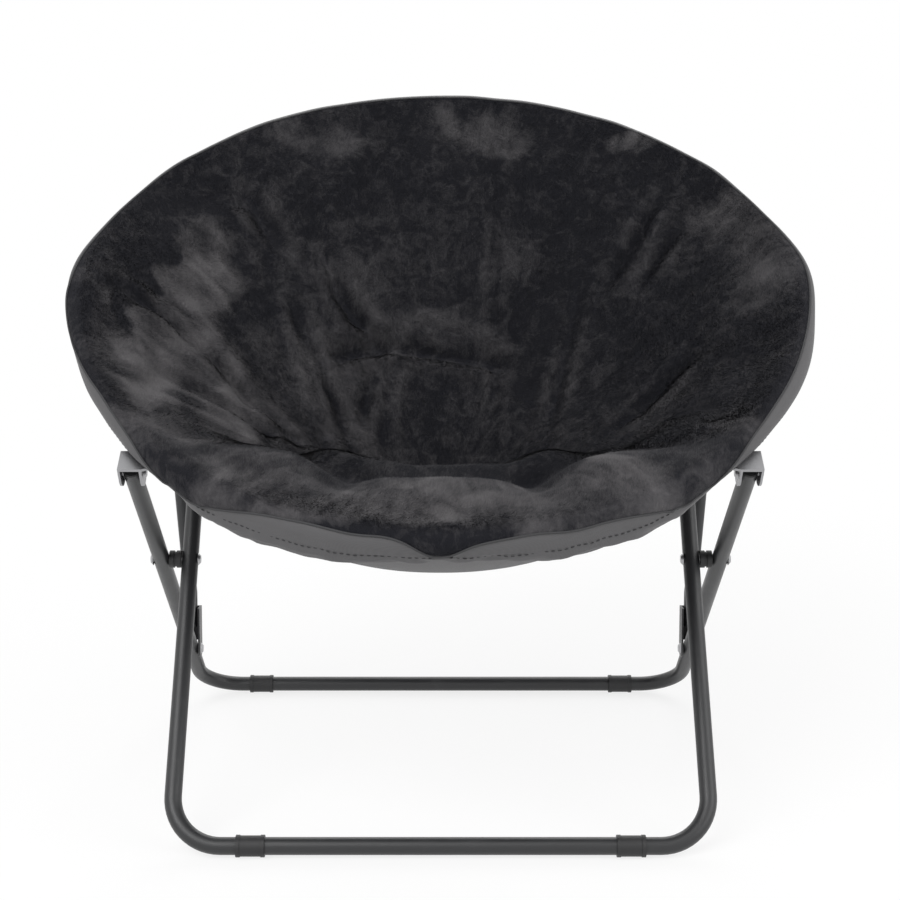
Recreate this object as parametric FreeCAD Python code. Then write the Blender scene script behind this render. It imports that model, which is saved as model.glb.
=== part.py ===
import FreeCAD, Part
import math
import os

# Saucer chair, open. Millimetres, +Z up, +X to the right as seen from the front, +Y to the back.
# The origin is on the floor under the centre of the round seat.
V = FreeCAD.Vector
os.makedirs("parts", exist_ok=True)

# Seat ring: two half hoops in one tilted plane
ring_radius = 348.0
ring_tilt = 30.3
ring_height = 487.0
hoop_tube = 16.0
hoop_end_gap = 13.0
rim_roll = 30.0

# Leg tubes
leg_tube = 16.0
brace_tube = 14.0
tube_wall = 1.2
leg_bend = 46.0
rear_half_share = 0.78448
brace_half_share = 0.87931
leg_step = 28.0
front_pivot_inset = 21.96
front_foot_ahead = 240.0
rear_foot_behind = 179.0
yoke_up_leg = 105.0
end_past_pivot = 5.0
brace_knee = 62.0
brace_start = 25.0
brace_fold = 30.0

# Sleeves that stand on the floor
sleeve_wall = 2.0
sleeve_length = 26.0
sleeve_collar = 3.5
sleeve_waist = 0.6
front_sleeve_inset = 27.0
rear_sleeve_inset = 21.0

# Sheet-metal brackets
sheet = 2.0
fit_gap = 0.3
brace_gap = 1.0
bracket_drop = 22.0
saddle_drop = 20.0
bracket_half = 12.0
bracket_nest = 0.8
gusset_reach = 15.0
gusset_tip = 4.0
hinge_rise = 10.0
hinge_reach = 33.0
hinge_half = 7.0
hinge_lip = 4.0
yoke_length = 46.0
yoke_half = 9.5
yoke_web_start = 8.0

# Rivets and plugs
rivet_shaft = 6.0
rivet_head = 12.0
rivet_dome = 2.4
hinge_head = 9.0
hinge_dome = 1.2
running_gap = 0.05
spacer_diameter = 17.0
spacer_groove = 1.2
plug_lip = 1.0
plug_depth = 12.0
plug_gap = 0.05

# Padded seat: a bowl about a pocket in front of the ring's centre, underside and fur side
seat_inset = 10.0
seam_gap = 0.3
pocket_ahead = 100.0
shell_depth = 213.0
fur_depth = 191.0
shell_power = 1.25
shell_front_power = 2.4
fur_power = 1.4
front_low_share = 0.15
front_high_share = 0.75
crest_share = 0.66
front_sag = 26.0
fade_power = 8
edge_drop = 8.0
edge_lift = 11.0
roll_sides = 12

# Where the fur side is drawn in, or stands proud where the depth is below nought: x, v, depth, spread
fur_dips = ((-76.0, -262.0, 15.0, 38.0), (86.0, -260.0, 18.0, 40.0), (150.0, -210.0, 11.0, 50.0),
            (-150.0, -205.0, 9.0, 50.0), (-66.0, 66.0, 9.0, 40.0), (-30.0, 160.0, -6.0, 70.0),
            (150.0, 160.0, -6.0, 70.0), (-190.0, 40.0, -6.0, 60.0), (200.0, 20.0, -6.0, 60.0))

station_shares = (0.0, 0.14, 0.29, 0.44, 0.58, 0.71, 0.82, 0.91, 0.97)
chord_shares = (-1.0, -0.9, -0.75, -0.55, -0.3, 0.0, 0.3, 0.55, 0.75, 0.9, 1.0)

overrun = 5.0

hoop_r = hoop_tube / 2
leg_r = leg_tube / 2
brace_r = brace_tube / 2
pivot_hole = rivet_shaft + 2 * running_gap
diagonal = math.sqrt(0.5)
foot_height = leg_r + sleeve_wall
rear_leg_half = ring_radius * rear_half_share
front_leg_half = rear_leg_half - leg_step
brace_top_half = ring_radius * brace_half_share
front_sleeve_half = front_leg_half - leg_bend - front_sleeve_inset
rear_sleeve_half = rear_leg_half - leg_bend - rear_sleeve_inset
tilt = math.radians(ring_tilt)
along = V(0, math.cos(tilt), math.sin(tilt))
normal = V(0, -math.sin(tilt), math.cos(tilt))
ring_centre = V(0, 0, ring_height)
front_foot = V(0, -front_foot_ahead, foot_height)
rear_foot = V(0, rear_foot_behind, foot_height)
hinge_axis = ring_centre + normal * hinge_rise
sides = (("left", -1), ("right", 1))


def unit(vector):
    return vector * (1 / vector.Length)


def side_point(point, x):
    return V(x, point.y, point.z)


def turned(vector):
    """The vector a quarter turn on in the side plane."""
    return V(0, -vector.z, vector.y)


def swung(vector, degrees):
    """The vector turned about +X."""
    a = math.radians(degrees)
    return V(0, vector.y * math.cos(a) - vector.z * math.sin(a), vector.y * math.sin(a) + vector.z * math.cos(a))


def crossing(a, b, c, d):
    """The side point where the lines a-b and c-d cross."""
    p, q = b - a, d - c
    share = turned(q).dot(c - a) / turned(q).dot(p)
    return a + p * share


hook_v = math.sqrt(ring_radius ** 2 - front_leg_half ** 2)
brace_v = math.sqrt(ring_radius ** 2 - brace_top_half ** 2)
front_hoop_x = rear_leg_half - front_pivot_inset
front_pivot_ahead = math.sqrt(ring_radius ** 2 - front_hoop_x ** 2)
front_hoop_pivot = ring_centre - along * front_pivot_ahead - normal * bracket_drop
leg_top = ring_centre + along * hook_v - normal * saddle_drop
brace_top = ring_centre + along * brace_v - normal * saddle_drop
leg_pivot = crossing(front_foot, leg_top, rear_foot, front_hoop_pivot)
front_dir = unit(leg_top - front_foot)
rear_dir = unit(front_hoop_pivot - rear_foot)
yoke_pivot = rear_foot + rear_dir * yoke_up_leg
brace_dir = unit(brace_top - yoke_pivot)
hoop_core = Part.makeTorus(ring_radius, hoop_r, ring_centre, normal)


def save(name, shape):
    shape.exportStep("parts/" + name + ".step")
    print(name, "solids", len(shape.Solids), "volume", round(shape.Volume), shape.isValid())


def across(point, x_from, x_to, diameter):
    """Round bar along X through a side point."""
    low, high = min(x_from, x_to), max(x_from, x_to)
    return Part.makeCylinder(diameter / 2, high - low, side_point(point, low), V(1, 0, 0))


def outline(points, x_from, x_to):
    """Plate across X with the given side outline."""
    low, high = min(x_from, x_to), max(x_from, x_to)
    wire = Part.makePolygon([side_point(p, low) for p in points + points[:1]])
    return Part.Face(wire).extrude(V(high - low, 0, 0))


def slab(point, up, half, low, high, x_from, x_to):
    """Plate between two heights over a side point, as wide as twice half."""
    side = turned(up) * half
    return outline([point + side + up * low, point - side + up * low,
                    point - side + up * high, point + side + up * high], x_from, x_to)


def pipe(path, start, direction, outer, inner):
    """Hollow tube of round section carried along a wire."""
    rings = []
    for radius in (outer, inner):
        circle = Part.Wire(Part.makeCircle(radius, start, direction))
        rings.append(path.makePipeShell([circle], True, True))
    return rings[0].cut(rings[1])


def leg(foot, half, top):
    """U-shaped leg: a floor bar with two straight uprights that end past the top pivot."""
    way = unit(top - foot)
    start = side_point(top + way * end_past_pivot, half)
    corner = side_point(foot + way * leg_bend, half)
    inset = leg_bend * (1 - diagonal)
    arc_mid = side_point(foot + way * inset, half - inset)
    bar_end = side_point(foot, half - leg_bend)
    edges = [Part.makeLine(start, corner), Part.Arc(corner, arc_mid, bar_end).toShape()]
    mirrored = [side_point(p, -p.x) for p in (bar_end, arc_mid, corner, start)]
    edges.append(Part.makeLine(bar_end, mirrored[0]))
    edges.append(Part.Arc(*mirrored[:3]).toShape())
    edges.append(Part.makeLine(*mirrored[2:]))
    return pipe(Part.Wire(edges), start, way, leg_r, leg_r - tube_wall)


def half_ring(sign, end_gap, outer, inner):
    """Tube along half of the ring, in front (-1) or behind (+1), short of the hinge line."""
    turn = math.asin(end_gap / ring_radius)
    ends = []
    for a in (turn, math.pi / 2, math.pi - turn):
        flat = V(math.cos(a), 0, 0) + along * (sign * math.sin(a))
        ends.append(ring_centre + flat * ring_radius)
    path = Part.Wire(Part.Arc(*ends).toShape())
    edge = path.Edges[0]
    return pipe(path, ends[0], edge.tangentAt(edge.FirstParameter), outer, inner)


def rivet(point, x_from, x_to, head, dome):
    """Rivet along X with a coned head on each outer face."""
    low, high = min(x_from, x_to), max(x_from, x_to)
    body = across(point, low, high, rivet_shaft)
    for face, out in ((low, -1), (high, 1)):
        body = body.fuse(Part.makeCone(head / 2, head / 2 - dome, dome, side_point(point, face), V(out, 0, 0)))
    return body.removeSplitter()


def cheek(pivot, up, half, reach, x_from, x_to):
    """Plate across X: round below the pivot and straight sides up to the reach."""
    low, high = min(x_from, x_to), max(x_from, x_to)
    side = turned(up) * half
    points = [pivot + side, pivot - side, pivot - side + up * reach, pivot + side + up * reach]
    points = [side_point(p, low) for p in points]
    edges = [Part.Arc(points[0], side_point(pivot - up * half, low), points[1]).toShape()]
    edges += [Part.makeLine(p, q) for p, q in zip(points[1:], points[2:] + points[:1])]
    return Part.Face(Part.Wire(edges)).extrude(V(high - low, 0, 0))


def hoop_bracket(pivot, drop, x_tube, inner, x_hoop, holed):
    """U bracket welded under a hoop: cheeks beside a tube's end and a web with a gusset to the hoop."""
    web_high = drop - hoop_r + bracket_nest
    web_low = drop - hoop_r - sheet
    shapes = []
    for k in (-1, 1):
        shapes.append(cheek(pivot, normal, bracket_half, web_high, x_tube + k * inner, x_tube + k * (inner + sheet)))
    edge = inner + sheet
    shapes.append(slab(pivot, normal, bracket_half, web_low, web_high, x_tube - edge, x_tube + edge))
    away = math.copysign(1, x_hoop - x_tube)
    tip = x_hoop + away * gusset_reach
    if abs(x_hoop) < abs(x_tube) - edge:
        root = x_tube + away * edge
        flat = pivot + normal * web_low
        side = along * bracket_half
        corners = [side_point(flat - side, root), side_point(flat + side, root),
                   side_point(flat + along * gusset_tip, tip), side_point(flat - along * gusset_tip, tip)]
        wire = Part.makePolygon(corners + corners[:1])
        shapes.append(Part.Face(wire).extrude(normal * (web_high - web_low)))
    body = shapes[0].multiFuse(shapes[1:]).removeSplitter().cut(hoop_core)
    if holed:
        body = body.cut(across(pivot, x_tube - edge - overrun, x_tube + edge + overrun, pivot_hole))
    return body


def plug(end, direction, bore_r, tube_r):
    """Push-in end plug: a stem in the bore and a coned lip over the tube's end."""
    stem = Part.makeCylinder(bore_r - plug_gap, plug_depth, end - direction * plug_depth, direction)
    lip = Part.makeCone(tube_r, tube_r - plug_lip, plug_lip, end, direction)
    return stem.fuse(lip).removeSplitter()


def sleeve(foot, x):
    """Hard sleeve on the floor bar, with a collar at each end that stands on the floor."""
    half = sleeve_length / 2
    body = across(foot, x - half, x + half, 2 * (foot_height - sleeve_waist))
    for k in (-1, 1):
        body = body.fuse(across(foot, x + k * half, x + k * (half - sleeve_collar), 2 * foot_height))
    bore = across(foot, x - half - overrun, x + half + overrun, 2 * (leg_r + running_gap))
    return body.removeSplitter().cut(bore)


def hinge_clip(way, x, grip):
    """Channel under a hoop's end, with a round ear on each side about the hinge axis."""
    start = ring_centre + along * (way * fit_gap)
    tip = ring_centre + along * (way * hinge_reach)
    low = -grip - sheet
    shapes = []
    for k in (-1, 1):
        x0, x1 = x + k * grip, x + k * (grip + sheet)
        ear = hinge_axis + along * (way * hinge_half)
        shapes.append(outline([start + normal * low, tip + normal * low, tip + normal * hinge_lip, ear,
                               hinge_axis], x0, x1))
        shapes.append(across(hinge_axis, x0, x1, 2 * hinge_half))
    middle = (start + tip) * 0.5
    shapes.append(slab(middle, normal, (tip - start).Length / 2, low, low + sheet, x - grip - sheet, x + grip + sheet))
    clip = shapes[0].multiFuse(shapes[1:]).removeSplitter().cut(hoop_core)
    wide = grip + sheet + overrun
    return clip.cut(across(hinge_axis, x - wide, x + wide, pivot_hole))


def bowl_height(x, v, fur):
    """Height of the bowl over the ring plane, for the fur side or the underside."""
    reach = ring_radius - seat_inset
    length = max(math.hypot(x, v + pocket_ahead), running_gap)
    uphill = (v + pocket_ahead) / length
    half = pocket_ahead * uphill
    share = min(length / (half + math.sqrt(half ** 2 + reach ** 2 - pocket_ahead ** 2)), 1)
    turn = (-uphill - front_low_share) / (front_high_share - front_low_share)
    turn = min(max(turn, 0), 1)
    ahead = turn ** 2 * (3 - 2 * turn)
    if not fur:
        power = shell_power + (shell_front_power - shell_power) * ahead
        return -edge_drop - (shell_depth - edge_drop) * (1 - share ** power)
    inner = min(share / (1 - ahead * (1 - crest_share)), 1)
    smooth = inner ** 2 * (3 - 2 * inner)
    rise = (1 - ahead) * inner ** fur_power + ahead * smooth
    sag = ahead * front_sag * smooth * (1 - share) / (1 - crest_share)
    for dip_x, dip_v, depth, spread in fur_dips:
        away = math.hypot(x - dip_x, v - dip_v) / spread
        sag += depth * math.exp(-away ** 2) * (1 - share ** fade_power)
    return edge_lift - (fur_depth + edge_lift) * (1 - rise) - sag


def roll_half(sign):
    """Padded roll of the cover round one hoop: a many-sided sleeve with a bore for the tube."""
    turn = math.asin(seam_gap / 2 / ring_radius)
    ends = []
    for a in (turn, math.pi / 2, math.pi - turn):
        flat = V(math.cos(a), 0, 0) + along * (sign * math.sin(a))
        ends.append(ring_centre + flat * ring_radius)
    path = Part.Wire(Part.Arc(*ends).toShape())
    out = V(math.cos(turn), 0, 0) + along * (sign * math.sin(turn))
    rings = []
    for radius in (rim_roll / 2, hoop_r + fit_gap):
        corner_r = radius / math.cos(math.pi / roll_sides)
        marks = [2 * math.pi * (k + 0.5) / roll_sides for k in range(roll_sides)]
        corners = [ends[0] + out * (corner_r * math.cos(m)) + normal * (corner_r * math.sin(m)) for m in marks]
        rings.append(path.makePipeShell([Part.makePolygon(corners + corners[:1])], True, True))
    return rings[0].cut(rings[1])


def seat_half(sign):
    """Half of the padded bowl, lofted through sections from the hinge line outward."""
    wires = []
    for share in station_shares:
        reach = ring_radius - seat_inset
        v = sign * max(reach * share, seam_gap / 2)
        chord = math.sqrt(reach ** 2 - v ** 2)
        curves = []
        for fur in (False, True):
            points = []
            for c in chord_shares:
                height = bowl_height(c * chord, v, fur)
                points.append(V(c * chord, 0, 0) + ring_centre + along * v + normal * height)
            curve = Part.BSplineCurve()
            curve.interpolate(points if not fur else points[::-1])
            curves.append(curve)
        under, top = [c.toShape() for c in curves]
        edges = [under, Part.makeLine(curves[0].EndPoint, curves[1].StartPoint), top,
                 Part.makeLine(curves[1].EndPoint, curves[0].StartPoint)]
        wires.append(Part.Wire(edges))
    return Part.makeLoft(wires, True, False)


# Tubes, with the holes that the rivets pass through
front_leg = leg(front_foot, front_leg_half, leg_top)
rear_leg = leg(rear_foot, rear_leg_half, front_hoop_pivot)
wide = rear_leg_half + leg_tube
front_leg = front_leg.cut(across(leg_pivot, -wide, wide, pivot_hole))
for point in (leg_pivot, front_hoop_pivot, yoke_pivot):
    rear_leg = rear_leg.cut(across(point, -wide, wide, pivot_hole))
save("front_leg_tube", front_leg)
save("rear_leg_tube", rear_leg)
save("front_hoop_tube", half_ring(-1, hoop_end_gap, hoop_r, hoop_r - tube_wall))
save("rear_hoop_tube", half_ring(1, hoop_end_gap, hoop_r, hoop_r - tube_wall))

openings = {-1: [], 1: []}
leg_grip = leg_r + fit_gap
brace_grip = brace_r + brace_gap
for name, s in sides:
    x_front, x_rear, x_brace, x_ring = (s * d for d in (front_leg_half, rear_leg_half, brace_top_half, ring_radius))

    # Front hoop pivot on the rear leg's top
    save("front_hoop_bracket_" + name,
         hoop_bracket(front_hoop_pivot, bracket_drop, x_rear, leg_grip, s * front_hoop_x, True))
    half = leg_grip + sheet
    save("front_hoop_rivet_" + name,
         rivet(front_hoop_pivot, x_rear - half, x_rear + half, rivet_head, rivet_dome))
    end = side_point(front_hoop_pivot + rear_dir * end_past_pivot, x_rear)
    cap = plug(end, rear_dir, leg_r - tube_wall, leg_r)
    save("rear_leg_plug_" + name, cap.cut(across(front_hoop_pivot, x_rear - wide, x_rear + wide, pivot_hole)))

    # Saddles on the rear hoop, over the tops of the front leg and the brace
    save("leg_saddle_" + name, hoop_bracket(leg_top, saddle_drop, x_front, leg_grip, x_front, False))
    end = side_point(leg_top + front_dir * end_past_pivot, x_front)
    save("front_leg_plug_" + name, plug(end, front_dir, leg_r - tube_wall, leg_r))
    save("brace_saddle_" + name, hoop_bracket(brace_top, saddle_drop, x_brace, brace_grip, x_brace, False))

    # Leg pivot: a rivet through both legs with a spacer between them
    save("leg_rivet_" + name, rivet(leg_pivot, s * (front_leg_half - leg_r), s * (rear_leg_half + leg_r),
                                    rivet_head, rivet_dome))
    near, far = s * (front_leg_half + leg_r + fit_gap), s * (rear_leg_half - leg_r - fit_gap)
    middle = (near + far) / 2
    spacer = across(leg_pivot, near, far, spacer_diameter)
    groove = across(leg_pivot, middle - spacer_groove, middle + spacer_groove, spacer_diameter + overrun)
    groove = groove.cut(across(leg_pivot, near, far, spacer_diameter - 2 * spacer_groove))
    bore = across(leg_pivot, near - s * overrun, far + s * overrun, pivot_hole)
    save("leg_spacer_" + name, spacer.cut(groove).cut(bore))

    # Brace, kneed out to the rear hoop and notched where it folds against the rear leg
    foot = side_point(yoke_pivot + brace_dir * brace_start, x_rear)
    knee = side_point(yoke_pivot + brace_dir * brace_knee, x_rear)
    top = side_point(brace_top, x_brace)
    way = unit(top - knee)
    end = top + way * end_past_pivot
    skins = []
    for radius in (brace_r, brace_r - tube_wall):
        lower = Part.makeCylinder(radius, (knee - foot).Length, foot, knee - foot)
        upper = Part.makeCylinder(radius, (end - knee).Length, knee, way)
        skins.append(lower.fuse(upper).fuse(Part.makeSphere(radius, knee)))
    brace = skins[0].cut(skins[1])
    folded = swung(rear_dir, -brace_fold)
    swept = Part.makeCylinder(leg_r + 2 * fit_gap, 2 * yoke_length, side_point(yoke_pivot, x_rear), folded)
    save("brace_tube_" + name, brace.cut(swept))
    save("brace_plug_" + name, plug(end, way, brace_r - tube_wall, brace_r))

    # Yoke: a channel on the brace's foot that straddles the rear leg
    shapes = []
    for k in (-1, 1):
        shapes.append(cheek(yoke_pivot, brace_dir, yoke_half, yoke_length, x_rear + k * leg_grip,
                            x_rear + k * (leg_grip + sheet)))
    web = yoke_pivot + brace_dir * yoke_web_start - turned(brace_dir) * (brace_r + sheet)
    run = brace_dir * (yoke_length - yoke_web_start)
    thick = turned(brace_dir) * sheet
    shapes.append(outline([web, web + run, web + run + thick, web + thick], x_rear - half, x_rear + half))
    yoke = shapes[0].multiFuse(shapes[1:]).removeSplitter()
    save("yoke_" + name, yoke.cut(across(yoke_pivot, x_rear - wide, x_rear + wide, pivot_hole)))
    save("yoke_rivet_" + name, rivet(yoke_pivot, x_rear - half, x_rear + half, rivet_head, rivet_dome))

    # Hinge of the two hoops: nested channels and a rivet above the tubes
    inner = hoop_r + 2 * fit_gap
    outer = inner + sheet + fit_gap
    save("hinge_rear_" + name, hinge_clip(1, x_ring, inner))
    save("hinge_front_" + name, hinge_clip(-1, x_ring, outer))
    save("hinge_rivet_" + name, rivet(hinge_axis, x_ring - outer - sheet, x_ring + outer + sheet,
                                      hinge_head, hinge_dome))

    # Openings in the cover's rim where brackets and hinges are
    side = bracket_half + sheet
    openings[-1].append(slab(front_hoop_pivot, normal, side, -side, bracket_drop - hoop_r + sheet,
                             x_rear + s * side, s * (front_hoop_x - gusset_reach - sheet)))
    for point, x in ((leg_top, x_front), (brace_top, x_brace)):
        openings[1].append(slab(point, normal, side, -side, saddle_drop - hoop_r + sheet, x - side, x + side))
    for k in (-1, 1):
        openings[k].append(slab(ring_centre, normal, hinge_reach + bracket_half, -rim_roll, rim_roll,
                                x_ring - s * (outer + sheet + 2 * fit_gap), x_ring + s * rim_roll))
        openings[k].append(across(hinge_axis, x_ring - s * (outer + sheet + hinge_dome + fit_gap), x_ring,
                                  hinge_head + 2 * fit_gap))

    # Floor sleeves
    save("front_sleeve_" + name, sleeve(front_foot, s * front_sleeve_half))
    save("rear_sleeve_" + name, sleeve(rear_foot, s * rear_sleeve_half))

# Padded seat: each half is the bowl with the roll of the rim round its hoop
for name, s in (("front", -1), ("rear", 1)):
    roll = roll_half(s)
    for cut in openings[s]:
        roll = roll.cut(cut)
    bowl = seat_half(s)
    seat = bowl.fuse(roll)
    for cut in openings[s]:
        seat = seat.cut(cut)
    save("seat_" + name, seat)

for label, point in (("leg_pivot", leg_pivot), ("front_hoop_pivot", front_hoop_pivot), ("leg_top", leg_top),
                     ("brace_top", brace_top), ("seat_hinge", hinge_axis), ("yoke_pivot", yoke_pivot)):
    print(label, round(point.y, 3), round(point.z, 3))
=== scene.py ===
import bpy
import math
import numpy as np
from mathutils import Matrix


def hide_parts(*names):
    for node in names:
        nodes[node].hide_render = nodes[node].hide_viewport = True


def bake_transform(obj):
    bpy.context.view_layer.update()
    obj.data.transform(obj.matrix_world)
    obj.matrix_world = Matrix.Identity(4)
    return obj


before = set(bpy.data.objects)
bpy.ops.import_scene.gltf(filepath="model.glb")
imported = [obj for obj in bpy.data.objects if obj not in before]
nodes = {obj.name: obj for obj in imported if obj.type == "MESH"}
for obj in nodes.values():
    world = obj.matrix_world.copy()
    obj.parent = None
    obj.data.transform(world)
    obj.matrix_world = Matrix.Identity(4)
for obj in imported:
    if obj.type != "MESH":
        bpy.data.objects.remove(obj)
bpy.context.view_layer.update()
print("frame loaded:", len(nodes), "nodes")

# The seat ring in metres: u across, v up its slope to the back, w out of its plane
ring = {
    "radius": 0.348,
    "tilt": math.radians(30.3),
    "height": 0.487,
}


def ringToRoom(u, v, w):
    # v climbs the slope and w leaves it at a right angle
    c, s = math.cos(ring["tilt"]), math.sin(ring["tilt"])
    return np.stack([u, v * c - w * s, ring["height"] + v * s + w * c], axis=-1)


def roomToRing(points):
    c, s = math.cos(ring["tilt"]), math.sin(ring["tilt"])
    y, z = points[:, 1], points[:, 2] - ring["height"]
    return points[:, 0], y * c + z * s, z * c - y * s


def fromFront(angle):
    # degrees along the ring from its front, above nought to the right
    return (np.degrees(angle) + 270) % 360 - 180


def smoothStep(a, b, x):
    # 0 below a, 1 above b, and 3t^2 - 2t^3 between
    t = np.clip((x - a) / (b - a), 0, 1)
    return t * t * (3 - 2 * t)


def valueNoise(x, y, scale, seed):
    # smooth noise in 0..1: random corners of a square grid, blended by smooth steps
    table = np.random.default_rng(seed).random((64, 64))
    gx, gy = x * scale + 500, y * scale + 500
    ix, iy = np.floor(gx).astype(int), np.floor(gy).astype(int)
    fx, fy = gx - ix, gy - iy
    fx, fy = fx * fx * (3 - 2 * fx), fy * fy * (3 - 2 * fy)
    a = table[ix % 64, iy % 64] * (1 - fx) + table[(ix + 1) % 64, iy % 64] * fx
    b = table[ix % 64, (iy + 1) % 64] * (1 - fx) + table[(ix + 1) % 64, (iy + 1) % 64] * fx
    return a * (1 - fy) + b * fy


def softTable(pairs, x, blur):
    # straight lines between the pairs, then averaged under a gaussian of the given width
    pairs = np.array(pairs, dtype=float)
    fine = np.linspace(pairs[0, 0], pairs[-1, 0], 801)
    level = np.interp(fine, pairs[:, 0], pairs[:, 1])
    reach = int(3 * blur / (fine[1] - fine[0])) + 1
    bell = np.exp(-0.5 * (np.arange(-reach, reach + 1) * (fine[1] - fine[0]) / blur) ** 2)
    level = np.convolve(np.pad(level, reach, mode="edge"), bell / bell.sum(), mode="valid")
    return np.interp(x, fine, level)


def unit(vectors):
    return vectors / np.maximum(np.linalg.norm(vectors, axis=1, keepdims=True), 1e-12)


# Materials
def fillSockets(tree, node, inputs):
    # each value is a number, a colour or another node's output
    for socket, value in inputs.items():
        if isinstance(value, bpy.types.NodeSocket):
            tree.links.new(value, node.inputs[socket])
        else:
            node.inputs[socket].default_value = value


def addNode(tree, kind, inputs=None, **settings):
    node = tree.nodes.new(kind)
    for key, value in settings.items():
        setattr(node, key, value)
    fillSockets(tree, node, inputs or {})
    return node


def newGroup(name, inputs, outputs):
    # an input is a vector for None, else a number or a colour; only the output "Colour" is a colour
    group = bpy.data.node_groups.new(name, "ShaderNodeTree")
    for label, value in inputs.items():
        kind = "Vector" if value is None else "Float" if isinstance(value, float) else "Color"
        socket = group.interface.new_socket(label, in_out="INPUT", socket_type="NodeSocket" + kind)
        if value is not None:
            socket.default_value = value
    for label in outputs:
        kind = "Color" if label == "Colour" else "Float"
        group.interface.new_socket(label, in_out="OUTPUT", socket_type="NodeSocket" + kind)
    return group, group.nodes.new("NodeGroupInput").outputs


def math2(tree, operation, a, b=0.0, clamp=False):
    return addNode(tree, "ShaderNodeMath", {0: a, 1: b}, operation=operation, use_clamp=clamp).outputs[0]


def swing(tree, noise, amount):
    # noise moved to lie about nought, times an amount
    return math2(tree, "MULTIPLY", math2(tree, "SUBTRACT", noise, 0.5), amount)


def mixColour(tree, factor, a, b):
    return addNode(tree, "ShaderNodeMix", {0: factor, 6: a, 7: b}, data_type="RGBA").outputs[2]


def noiseOf(tree, vector, scale, detail=2.0, roughness=0.5, distortion=0.0):
    return addNode(tree, "ShaderNodeTexNoise", {
        "Vector": vector, "Scale": scale, "Detail": detail, "Roughness": roughness,
        "Distortion": distortion}).outputs["Fac"]


def rangeOf(tree, value, low, high, newLow=0.0, newHigh=1.0):
    return addNode(tree, "ShaderNodeMapRange", {
        0: value, 1: low, 2: high, 3: newLow, 4: newHigh}).outputs[0]


def bumpOf(tree, height, strength, distance):
    return addNode(tree, "ShaderNodeBump", {
        "Strength": strength, "Distance": distance, "Height": height}).outputs[0]


def makeSkin():
    # fine grain of a sprayed or moulded skin: rubbed patches, a shift in roughness, and height
    group, given = newGroup("skinGrain", {
        "Vector": None, "Colour": (0.02, 0.02, 0.02, 1), "Rub Colour": (0.08, 0.08, 0.08, 1),
        "Roughness": 0.4}, ("Colour", "Roughness", "Height"))
    fine = noiseOf(group, given["Vector"], 1900, 2)
    broad = noiseOf(group, given["Vector"], 28, 4, 0.6)
    rub = math2(group, "MULTIPLY", rangeOf(group, broad, 0.6, 0.78), 0.3)
    addNode(group, "NodeGroupOutput", {
        "Colour": mixColour(group, rub, given["Colour"], given["Rub Colour"]),
        "Roughness": math2(group, "ADD", given["Roughness"], swing(group, broad, 0.22)),
        "Height": fine})
    return group


def makePile():
    # pile colour with painted sheen: the lit colour where the level is high, for the way the nap lies,
    # streaks along it and short tufts
    group, given = newGroup("pileSheenShade", {
        "Vector": None, "Sheen Level": 0.5, "Deep": (0.01, 0.01, 0.011, 1), "Lit": (0.08, 0.08, 0.08, 1)},
        ("Colour", "Height"))
    drawnOut = addNode(group, "ShaderNodeMapping", {"Vector": given["Vector"], "Scale": (1.0, 0.35, 0.35)})
    mottle = noiseOf(group, given["Vector"], 60, 5, 0.65, 0.9)
    streak = noiseOf(group, drawnOut.outputs[0], 420, 3, 0.65, 0.6)
    tuft = noiseOf(group, given["Vector"], 900, 2, 0.6)
    level = math2(group, "ADD", given["Sheen Level"], swing(group, mottle, 0.95))
    level = math2(group, "ADD", level, swing(group, streak, 0.3), clamp=True)
    height = math2(group, "ADD", math2(group, "MULTIPLY", streak, 0.6), math2(group, "MULTIPLY", tuft, 0.4))
    addNode(group, "NodeGroupOutput", {
        "Colour": mixColour(group, level, given["Deep"], given["Lit"]), "Height": height})
    return group


def makeWeave():
    # plain weave on a UV map laid out in metres: crossing ribs, a slight slub
    group, given = newGroup("plainWeave", {
        "Vector": None, "Threads": 1400.0, "Colour": (0.12, 0.12, 0.12, 1),
        "Gap Colour": (0.05, 0.05, 0.05, 1)}, ("Colour", "Height"))
    place = addNode(group, "ShaderNodeSeparateXYZ", {0: given["Vector"]}).outputs
    waves = []
    for axis in (0, 1):
        turns = math2(group, "MULTIPLY", math2(group, "MULTIPLY", place[axis], given["Threads"]), math.pi)
        waves.append(math2(group, "ABSOLUTE", math2(group, "SINE", turns)))
    slub = rangeOf(group, noiseOf(group, given["Vector"], 55, 3, 0.6), 0.2, 0.8, 0.75, 1.1)
    ribs = math2(group, "MULTIPLY", math2(group, "MAXIMUM", *waves), slub)
    addNode(group, "NodeGroupOutput", {
        "Colour": mixColour(group, ribs, given["Gap Colour"], given["Colour"]), "Height": ribs})
    return group


skinGrain, pileSheenShade, plainWeave = makeSkin(), makePile(), makeWeave()


def newMaterial(name, constants=None):
    material = bpy.data.materials.new(name)
    material.use_nodes = True
    tree = material.node_tree
    shader = tree.nodes["Principled BSDF"]
    fillSockets(tree, shader, constants or {})
    return material, tree, shader


def skinMaterial(name, colour, rubColour, roughness, bump, metal=0.0):
    material, tree, shader = newMaterial(name)
    where = addNode(tree, "ShaderNodeTexCoord").outputs["Object"]
    grain = addNode(tree, "ShaderNodeGroup", {
        "Vector": where, "Colour": (*colour, 1), "Rub Colour": (*rubColour, 1),
        "Roughness": roughness}, node_tree=skinGrain).outputs
    fillSockets(tree, shader, {
        "Base Color": grain["Colour"], "Roughness": grain["Roughness"], "Metallic": metal,
        "Normal": bumpOf(tree, grain["Height"], bump, 0.0004)})
    return material


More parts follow.
